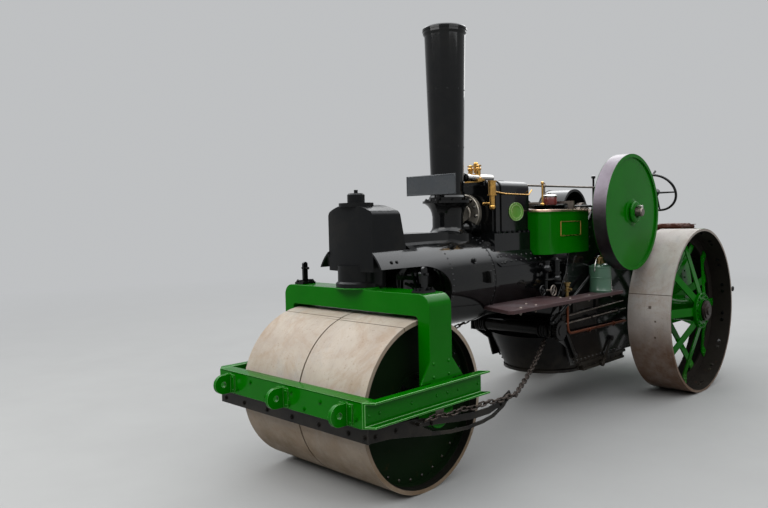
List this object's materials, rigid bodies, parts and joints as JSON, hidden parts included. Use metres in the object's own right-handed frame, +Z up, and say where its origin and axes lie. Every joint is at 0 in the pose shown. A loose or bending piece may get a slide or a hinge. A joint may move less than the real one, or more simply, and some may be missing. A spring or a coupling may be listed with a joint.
{
  "type": "steam road roller",
  "caption": "Single-cylinder steam road roller with a split front roll in a steering fork, spoked driving wheels, flywheel, tall chimney and rear tender.",
  "frame": {"origin": "on the ground under the middle of the bounding box", "axes": "+X forward along the roller, +Y to the flywheel side (left), +Z up"},
  "size_m": [5.599, 1.972, 3.086],
  "materials": {
    "bare_steel": "oiled",
    "black_paint": "gloss",
    "brass": "polished",
    "can_enamel": "satin",
    "chain_steel": "oiled",
    "copper": "tarnished",
    "green_paint": "gloss",
    "plum_wood": "painted",
    "polished_steel": "polished",
    "roll_iron": "worn",
    "seat_pad": "matte"
  },
  "bodies": {
    "engine": {"boiler_barrel": "black_paint", "firebox": "black_paint", "hornplates": "black_paint", "smokebox": "black_paint", "smokebox_door": "black_paint", "headstock": "black_paint", "chimney_base": "black_paint", "chimney": "black_paint", "number_plate": "black_paint", "cylinder_block": "black_paint", "cylinder_cover": "polished_steel", "safety_valves": "brass", "lubricator": "brass", "saddle_plate": "black_paint", "motion_bars": "bare_steel", "connecting_rod": "bare_steel", "motion_covers": "green_paint", "gear_cover": "black_paint", "rear_axle": "chain_steel", "running_boards": "plum_wood", "board_brackets": "black_paint", "oil_can": "can_enamel", "copper_pipe": "copper", "boiler_fittings": "black_paint", "ash_pan": "black_paint", "tender": "green_paint", "driver_seat": "seat_pad", "steering_column": "black_paint", "chain_left": "chain_steel", "chain_right": "chain_steel", "drawbar": "chain_steel"},
    "front_fork": {"fork": "green_paint", "fork_posts": "black_paint", "front_axle": "bare_steel", "towing_frame": "green_paint", "side_channels": "green_paint", "roll_scrapers": "black_paint"},
    "front_roll_left": {"front_roll_left": "roll_iron"},
    "front_roll_right": {"front_roll_right": "roll_iron"},
    "rear_wheel_left": {"rear_wheel_left": "roll_iron", "rear_spokes_left": "green_paint"},
    "rear_wheel_right": {"rear_wheel_right": "roll_iron", "rear_spokes_right": "green_paint"},
    "flywheel": {"flywheel": "green_paint", "crankshaft": "bare_steel"},
    "steering_wheel": {"steering_wheel": "black_paint"},
    "chain_barrel": {"chain_barrel": "chain_steel"},
    "tank_lid": {"tank_lid": "black_paint"},
    "fire_door": {"fire_door": "black_paint"}
  },
  "joints": [
    {"name": "fork_steering", "type": "hinge", "parent": "engine", "child": "front_fork", "pos_m": [2.0355, 0, 1.225], "axis": [0, 0, 1], "range_deg": [-25, 25], "deforming": ["chain_left", "chain_right"]},
    {"name": "front_roll_left_turn", "type": "hinge", "parent": "front_fork", "child": "front_roll_left", "pos_m": [2.0355, 0, 0.533], "axis": [0, 1, 0], "continuous": true},
    {"name": "front_roll_right_turn", "type": "hinge", "parent": "front_fork", "child": "front_roll_right", "pos_m": [2.0355, 0, 0.533], "axis": [0, 1, 0], "continuous": true},
    {"name": "rear_wheel_left_turn", "type": "hinge", "parent": "engine", "child": "rear_wheel_left", "pos_m": [-1.4995, 0, 0.762], "axis": [0, 1, 0], "continuous": true},
    {"name": "rear_wheel_right_turn", "type": "hinge", "parent": "engine", "child": "rear_wheel_right", "pos_m": [-1.4995, 0, 0.762], "axis": [0, 1, 0], "continuous": true},
    {"name": "flywheel_turn", "type": "hinge", "parent": "engine", "child": "flywheel", "pos_m": [-0.5775, 0, 1.69], "axis": [0, 1, 0], "continuous": true},
    {"name": "chain_barrel_turn", "type": "hinge", "parent": "engine", "child": "chain_barrel", "pos_m": [0.2405, 0, 0.75], "axis": [0, 1, 0], "range_deg": [-225, 225]},
    {"name": "steering_wheel_turn", "type": "hinge", "parent": "engine", "child": "steering_wheel", "pos_m": [-1.58826, 0.442, 1.87721], "axis": [-0.8788, 0, 0.4772], "range_deg": [-1125, 1125]},
    {"name": "fire_door_hinge", "type": "hinge", "parent": "engine", "child": "fire_door", "pos_m": [-1.0148, 0.182, 1.06], "axis": [0, 0, -1], "range_deg": [0, 100]},
    {"name": "tank_lid_hinge", "type": "hinge", "parent": "engine", "child": "tank_lid", "pos_m": [-2.5375, 0, 1.306], "axis": [0, 1, 0], "range_deg": [0, 105]}
  ],
  "couplings": [
    {"joint": "chain_barrel_turn", "follows": "fork_steering", "ratio": 9},
    {"joint": "steering_wheel_turn", "follows": "fork_steering", "ratio": 45}
  ]
}
